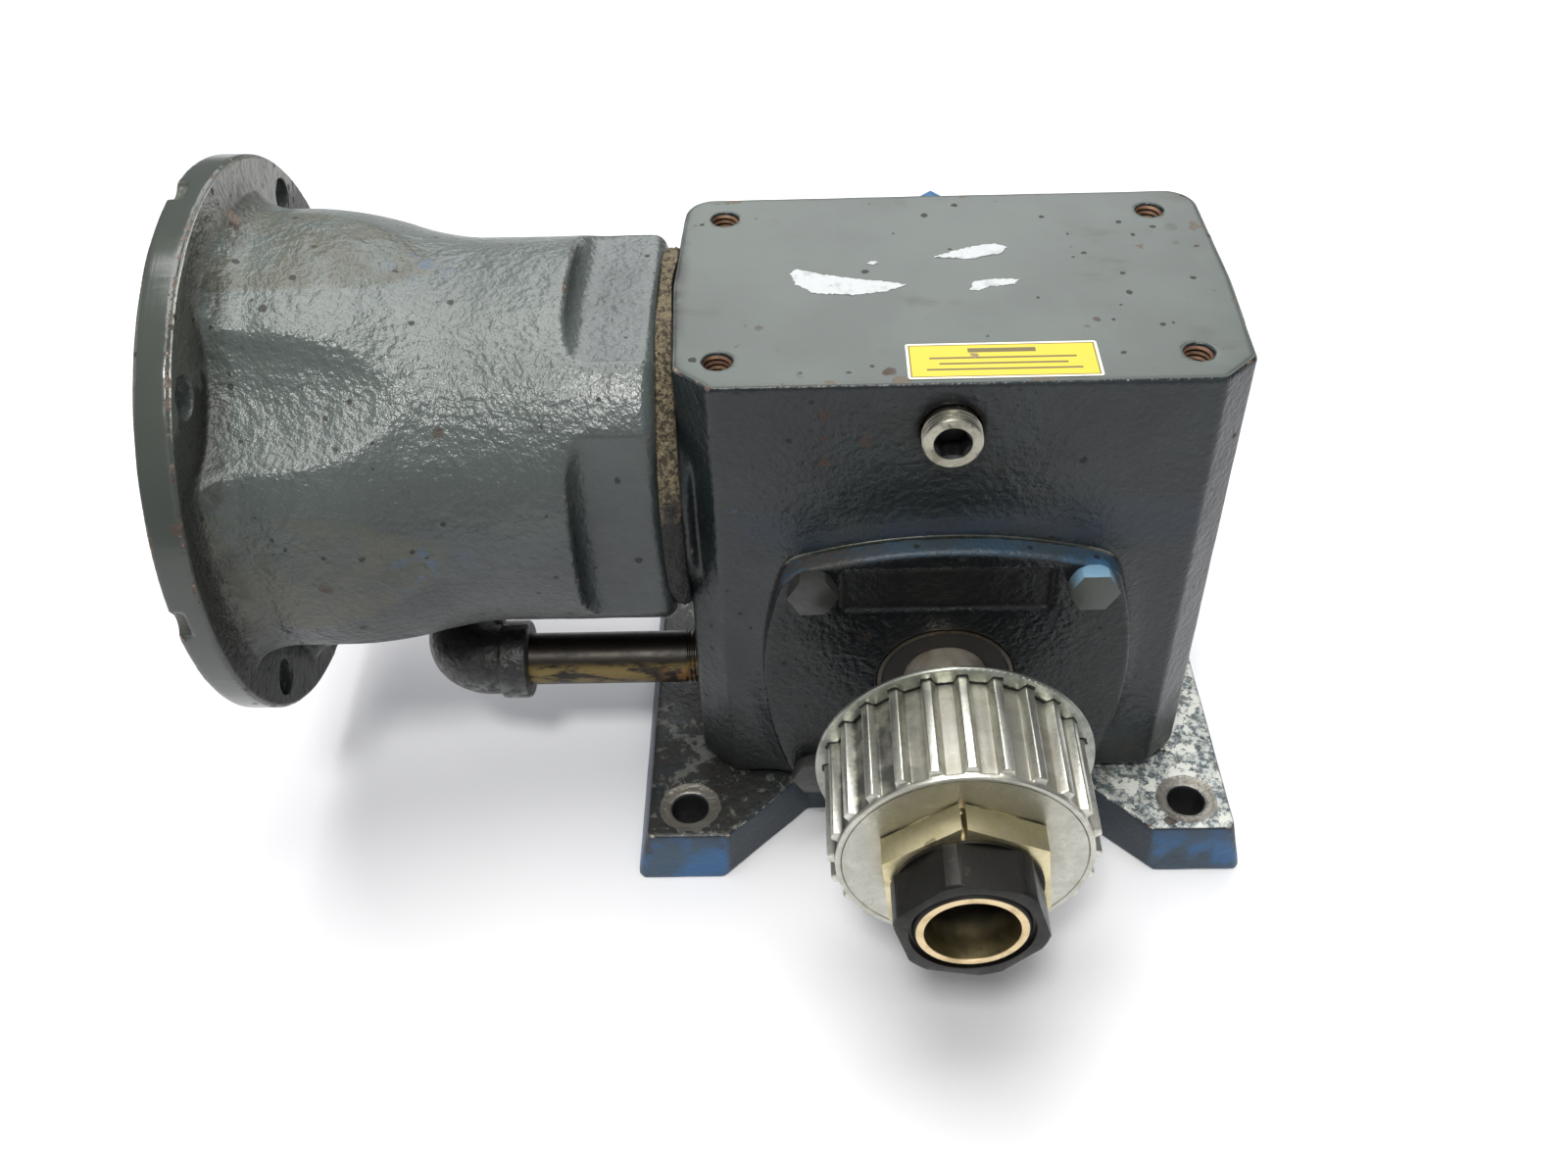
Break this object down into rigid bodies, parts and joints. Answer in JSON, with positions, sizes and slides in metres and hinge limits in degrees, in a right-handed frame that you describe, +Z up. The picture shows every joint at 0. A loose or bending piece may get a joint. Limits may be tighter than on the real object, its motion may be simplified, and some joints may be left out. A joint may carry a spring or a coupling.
{
  "type": "right angle gearbox",
  "caption": "Right angle worm gear reducer on a foot base, with a C-face motor adapter, jaw coupling and a toothed belt pulley on its output shaft.",
  "frame": {"origin": "centre of the base's four bolt holes, on the underside of the base", "axes": "+Z up, out of the top face; -Y along the output shaft towards the pulley; -X out of the motor face along the worm shaft"},
  "size_m": [0.3115, 0.2334, 0.2116],
  "materials": {
    "grey_blue_paint": "satin paint over an orange-peel casting",
    "worn_blue_paint": "worn satin paint over cast iron",
    "black_paint": "satin paint",
    "painted_bolts": "satin paint over steel",
    "plain_bolts": "dull steel",
    "shim": "thin bright shim",
    "sealant": "grainy sealant",
    "ground_steel": "ground",
    "bearing_balls": "polished",
    "gear_bronze": "machined",
    "grey_iron": "machined",
    "seal_steel": "pressed sheet",
    "seal_rubber": "matt",
    "spider_rubber": "matt",
    "bright_aluminium": "machined, mottled",
    "yellow_zinc": "yellow zinc plating",
    "black_oxide": "black oxide with worn edges",
    "dark_pipe": "dark malleable iron",
    "plug_steel": "worn steel",
    "pale_blue_paint": "old paint",
    "yellow_label": "printed film with no lettering"
  },
  "bodies": {
    "gearbox_frame": {"adapter_bolts": "plain_bolts", "adapter_gasket": "sealant", "base": "worn_blue_paint", "base_bolts": "plain_bolts", "drain_elbow": "dark_pipe", "drain_nipple": "dark_pipe", "elbow_plug": "dark_pipe", "filler_plug": "plug_steel", "housing": "grey_blue_paint", "input_retaining_ring": "ground_steel", "input_seal_case": "seal_steel", "input_seal_lip": "seal_rubber", "label_plate": "yellow_label", "motor_adapter": "grey_blue_paint", "output_cover": "black_paint", "output_cover_bolts": "painted_bolts", "output_cover_gasket": "shim", "output_front_outer_race": "ground_steel", "output_rear_outer_race": "ground_steel", "output_seal_case": "seal_steel", "output_seal_lip": "seal_rubber", "rear_cover": "black_paint", "rear_cover_bolts": "painted_bolts", "rear_cover_gasket": "shim", "vent_plug": "pale_blue_paint", "worm_blind_outer_race": "ground_steel", "worm_input_outer_race": "ground_steel"},
    "output_train": {"output_shaft": "ground_steel", "worm_wheel": "gear_bronze", "wheel_hub": "grey_iron", "wheel_key": "ground_steel", "front_wheel_spacer": "ground_steel", "rear_wheel_spacer": "ground_steel", "output_front_inner_race": "ground_steel", "output_rear_inner_race": "ground_steel", "timing_pulley": "bright_aluminium", "pulley_flange": "bright_aluminium", "bushing_sleeve": "yellow_zinc", "bushing_ring": "yellow_zinc", "bushing_nut": "black_oxide"},
    "worm_train": {"worm_shaft": "ground_steel", "worm_input_inner_race": "ground_steel", "worm_blind_inner_race": "ground_steel", "gear_side_hub": "grey_iron", "motor_side_hub": "grey_iron", "coupling_spider": "spider_rubber", "coupling_key": "ground_steel", "coupling_set_screws": "plain_bolts"},
    "output_front_cage": {"output_front_balls": "bearing_balls"},
    "output_rear_cage": {"output_rear_balls": "bearing_balls"},
    "worm_input_cage": {"worm_input_balls": "bearing_balls"},
    "worm_blind_cage": {"worm_blind_balls": "bearing_balls"}
  },
  "joints": [
    {"name": "output_spin", "type": "hinge", "parent": "gearbox_frame", "child": "output_train", "pos_m": [0, 0, 0.0751], "axis": [0, -1, 0], "continuous": true},
    {"name": "worm_spin", "type": "hinge", "parent": "gearbox_frame", "child": "worm_train", "pos_m": [0, 0, 0.12749], "axis": [1, 0, 0], "continuous": true},
    {"name": "output_front_cage_spin", "type": "hinge", "parent": "gearbox_frame", "child": "output_front_cage", "pos_m": [0, -0.032, 0.0751], "axis": [0, -1, 0], "continuous": true},
    {"name": "output_rear_cage_spin", "type": "hinge", "parent": "gearbox_frame", "child": "output_rear_cage", "pos_m": [0, 0.032, 0.0751], "axis": [0, -1, 0], "continuous": true},
    {"name": "worm_input_cage_spin", "type": "hinge", "parent": "gearbox_frame", "child": "worm_input_cage", "pos_m": [-0.0575, 0, 0.12749], "axis": [1, 0, 0], "continuous": true},
    {"name": "worm_blind_cage_spin", "type": "hinge", "parent": "gearbox_frame", "child": "worm_blind_cage", "pos_m": [0.059, 0, 0.12749], "axis": [1, 0, 0], "continuous": true}
  ],
  "couplings": [
    {"joint": "worm_spin", "follows": "output_spin", "ratio": 30},
    {"joint": "output_front_cage_spin", "follows": "output_spin", "ratio": 0.3965},
    {"joint": "output_rear_cage_spin", "follows": "output_spin", "ratio": 0.3965},
    {"joint": "worm_input_cage_spin", "follows": "output_spin", "ratio": 11.907},
    {"joint": "worm_blind_cage_spin", "follows": "output_spin", "ratio": 11.445}
  ]
}
